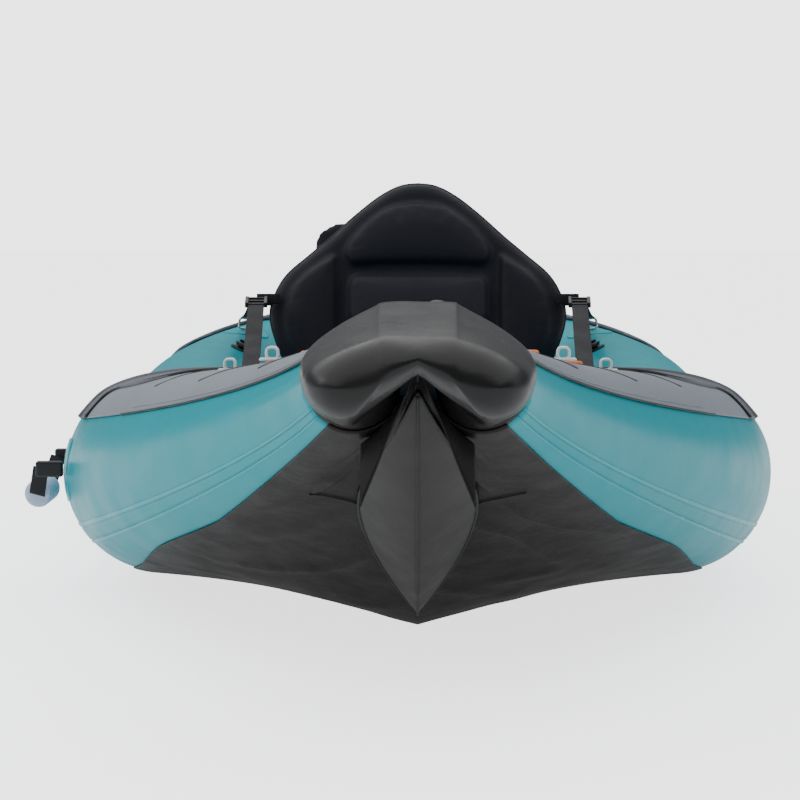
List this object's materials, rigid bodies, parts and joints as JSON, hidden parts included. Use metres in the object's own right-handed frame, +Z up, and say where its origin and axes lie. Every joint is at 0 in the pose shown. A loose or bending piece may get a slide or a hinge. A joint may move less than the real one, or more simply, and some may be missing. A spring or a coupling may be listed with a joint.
{
  "type": "inflatable kayak",
  "caption": "One-person inflatable touring kayak with side tubes, moulded nose cones, keel plate, fabric decks, folding padded seat, bungee lacing, carry handles and a removable skeg.",
  "frame": {"origin": "middle of the flat bottom, where the hull rests on the ground", "axes": "+Z up, +Y from the bow to the stern, +X to port"},
  "size_m": [0.9687, 3.12, 0.5397],
  "materials": {
    "tube_fabric": "glossy turquoise coated fabric",
    "floor_fabric": "matte grey coated fabric",
    "bottom_skin": "satin black coated fabric",
    "cone_rubber": "satin black moulding",
    "keel_plastic": "charcoal moulded plastic",
    "ring_steel": "polished steel",
    "deck_fabric": "matte grey woven fabric",
    "bungee_cord": "orange braided cord",
    "loop_white": "white moulded loop",
    "buckle_plastic": "black moulded plastic",
    "grip_plastic": "pale translucent ribbed plastic",
    "webbing": "black webbing",
    "patch_fabric": "turquoise coated patch",
    "stripe_film": "white printed stripe",
    "seat_fabric": "dark navy moulded foam and cloth",
    "valve_plastic": "black moulded plastic",
    "zip_plastic": "black coil zip"
  },
  "bodies": {
    "hull": {"bow_bungee": "bungee_cord", "bow_bungee_loops": "loop_white", "bow_coaming": "deck_fabric", "bow_deck": "deck_fabric", "bow_keel_plate": "keel_plastic", "bow_nose_cone": "cone_rubber", "bungee_locks": "buckle_plastic", "end_handle_lugs": "buckle_plastic", "floor": "floor_fabric", "floor_valve_body": "valve_plastic", "front_rings": "ring_steel", "hinge_panel": "seat_fabric", "hull_bottom": "bottom_skin", "port_front_ring_patch": "patch_fabric", "port_front_strap": "webbing", "port_rear_ring_patch": "patch_fabric", "port_rear_strap": "webbing", "port_seam_tape": "patch_fabric", "port_tube": "tube_fabric", "port_valve_body": "valve_plastic", "rear_rings": "ring_steel", "seat_cushion": "seat_fabric", "side_handle_patch": "patch_fabric", "side_stripes": "stripe_film", "skeg_base": "keel_plastic", "starboard_front_ring_patch": "patch_fabric", "starboard_front_strap": "webbing", "starboard_rear_ring_patch": "patch_fabric", "starboard_rear_strap": "webbing", "starboard_seam_tape": "patch_fabric", "starboard_tube": "tube_fabric", "starboard_valve_body": "valve_plastic", "stern_bungee": "bungee_cord", "stern_bungee_loops": "loop_white", "stern_coaming": "deck_fabric", "stern_deck": "deck_fabric", "stern_keel_plate": "keel_plastic", "stern_nose_cone": "cone_rubber"},
    "backrest": {"seat_back": "seat_fabric", "back_pouch": "seat_fabric", "pouch_zip": "zip_plastic", "back_side_tabs": "webbing", "front_buckles": "buckle_plastic", "rear_buckles": "buckle_plastic"},
    "footrest": {"footrest": "seat_fabric"},
    "side_handle": {"side_handle_webbing": "webbing", "side_handle_grip": "grip_plastic"},
    "bow_handle": {"bow_handle_webbing": "webbing", "bow_handle_grip": "grip_plastic"},
    "stern_handle": {"stern_handle_webbing": "webbing", "stern_handle_grip": "grip_plastic"},
    "skeg": {"skeg_fin": "keel_plastic"},
    "skeg_pin": {"skeg_pin": "ring_steel"},
    "zip_pull": {"zip_pull": "zip_plastic"},
    "starboard_valve_cap": {"starboard_valve_cap": "valve_plastic"},
    "starboard_valve_stem": {"starboard_valve_stem": "valve_plastic"},
    "port_valve_cap": {"port_valve_cap": "valve_plastic"},
    "port_valve_stem": {"port_valve_stem": "valve_plastic"},
    "floor_valve_cap": {"floor_valve_cap": "valve_plastic"},
    "floor_valve_stem": {"floor_valve_stem": "valve_plastic"}
  },
  "joints": [
    {"name": "backrest_fold", "type": "hinge", "parent": "hull", "child": "backrest", "pos_m": [0, 0.248, 0.16728], "axis": [1, 0, 0], "range_deg": [-20, 55], "deforming": ["port_front_strap", "port_rear_strap", "starboard_front_strap", "starboard_rear_strap"]},
    {"name": "footrest_slide", "type": "slide", "parent": "hull", "child": "footrest", "axis": [0, 0.9976, -0.0691], "range_m": [-0.06, 0.1]},
    {"name": "side_handle_swing", "type": "hinge", "parent": "hull", "child": "side_handle", "pos_m": [-0.47581, -0.44, 0.16605], "axis": [0, 1, 0], "range_deg": [0, 135]},
    {"name": "bow_handle_swing", "type": "hinge", "parent": "hull", "child": "bow_handle", "pos_m": [-0.019, -1.26, 0.38282], "axis": [0, -1, 0], "range_deg": [0, 120]},
    {"name": "stern_handle_swing", "type": "hinge", "parent": "hull", "child": "stern_handle", "pos_m": [-0.019, 1.26, 0.38282], "axis": [0, -1, 0], "range_deg": [0, 120]},
    {"name": "skeg_slide", "type": "slide", "parent": "hull", "child": "skeg", "axis": [0, 0.8691, 0.4946], "range_m": [0, 0.12]},
    {"name": "skeg_pin_pull", "type": "slide", "parent": "skeg", "child": "skeg_pin", "axis": [1, 0, 0], "range_m": [0, 0.045]},
    {"name": "zip_pull_slide", "type": "slide", "parent": "backrest", "child": "zip_pull", "axis": [1, 0, 0], "range_m": [0, 0.2]},
    {"name": "starboard_valve_cap_turn", "type": "hinge", "parent": "hull", "child": "starboard_valve_cap", "pos_m": [-0.28032, 0.4, 0.26436], "axis": [0.4067, 0, 0.9135], "range_deg": [0, 90]},
    {"name": "starboard_valve_stem_press", "type": "slide", "parent": "hull", "child": "starboard_valve_stem", "axis": [-0.4067, 0, -0.9135], "range_m": [0, 0.004], "stiffness_N_per_m": 300, "springref_m": -0.002},
    {"name": "port_valve_cap_turn", "type": "hinge", "parent": "hull", "child": "port_valve_cap", "pos_m": [0.28032, 0.4, 0.26436], "axis": [-0.4067, 0, 0.9135], "range_deg": [0, 90]},
    {"name": "port_valve_stem_press", "type": "slide", "parent": "hull", "child": "port_valve_stem", "axis": [0.4067, 0, -0.9135], "range_m": [0, 0.004], "stiffness_N_per_m": 300, "springref_m": -0.002},
    {"name": "floor_valve_cap_turn", "type": "hinge", "parent": "hull", "child": "floor_valve_cap", "pos_m": [0.105, 0.64, 0.11383], "axis": [0, 0, 1], "range_deg": [0, 90]},
    {"name": "floor_valve_stem_press", "type": "slide", "parent": "hull", "child": "floor_valve_stem", "axis": [0, 0, -1], "range_m": [0, 0.004], "stiffness_N_per_m": 300, "springref_m": -0.002}
  ]
}
